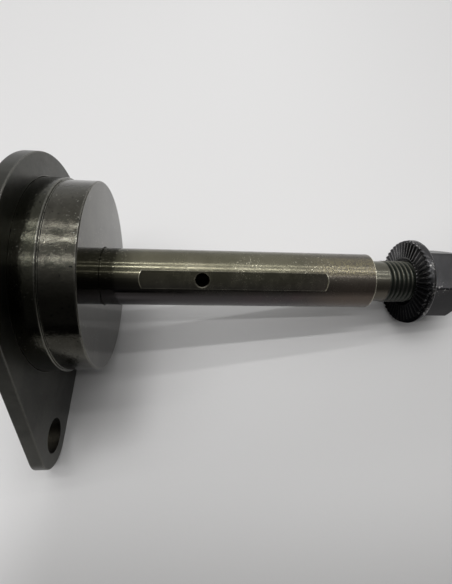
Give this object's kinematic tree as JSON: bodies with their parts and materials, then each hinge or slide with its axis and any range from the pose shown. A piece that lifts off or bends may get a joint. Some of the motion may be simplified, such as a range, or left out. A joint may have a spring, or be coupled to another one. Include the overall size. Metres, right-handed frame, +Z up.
{
  "type": "flanged pivot spindle",
  "caption": "Bolt-on flange with a round turned register, a cross-drilled spindle with an oil flat, a threaded end, a serrated flange lock nut and a grease nipple.",
  "frame": {"origin": "centre of the flange's rear face, on the spindle's axis", "axes": "+Y along the spindle from the flange to the nut; +Z up as the part lies on the flange's straight side"},
  "size_m": [0.0892, 0.148, 0.0728],
  "materials": {
    "dark_steel": "oiled black oxide",
    "weld_metal": "ground flush",
    "bronzed_steel": "ground, browned",
    "black_steel": "black oxide",
    "nylon": "natural nylon",
    "zinc_plate": "zinc plate",
    "bearing_steel": "polished"
  },
  "bodies": {
    "flange_and_spindle": {"mounting_plate": "dark_steel", "hub_boss": "dark_steel", "rear_weld": "weld_metal", "spindle": "bronzed_steel", "grease_nipple": "zinc_plate", "nipple_spring": "bearing_steel"},
    "nut_carrier": {"nut_lock_ring": "nylon"},
    "nut": {"flange_nut": "black_steel"},
    "valve_ball": {"nipple_ball": "bearing_steel"}
  },
  "joints": [
    {"name": "nut_travel", "type": "slide", "parent": "flange_and_spindle", "child": "nut_carrier", "axis": [0, 1, 0], "range_m": [-0.0075, 0.018]},
    {"name": "nut_turn", "type": "hinge", "parent": "nut_carrier", "child": "nut", "pos_m": [0, 0.1183, 0], "axis": [0, 1, 0], "range_deg": [-1800, 4320]},
    {"name": "ball_lift", "type": "slide", "parent": "flange_and_spindle", "child": "valve_ball", "axis": [0, 1, 0], "range_m": [-0.001, 0], "stiffness_N_per_m": 300, "springref_m": 0.001, "deforming": ["nipple_spring"]}
  ],
  "couplings": [
    {"joint": "nut_travel", "follows": "nut_turn", "m_per_rad": 0.00023873}
  ]
}
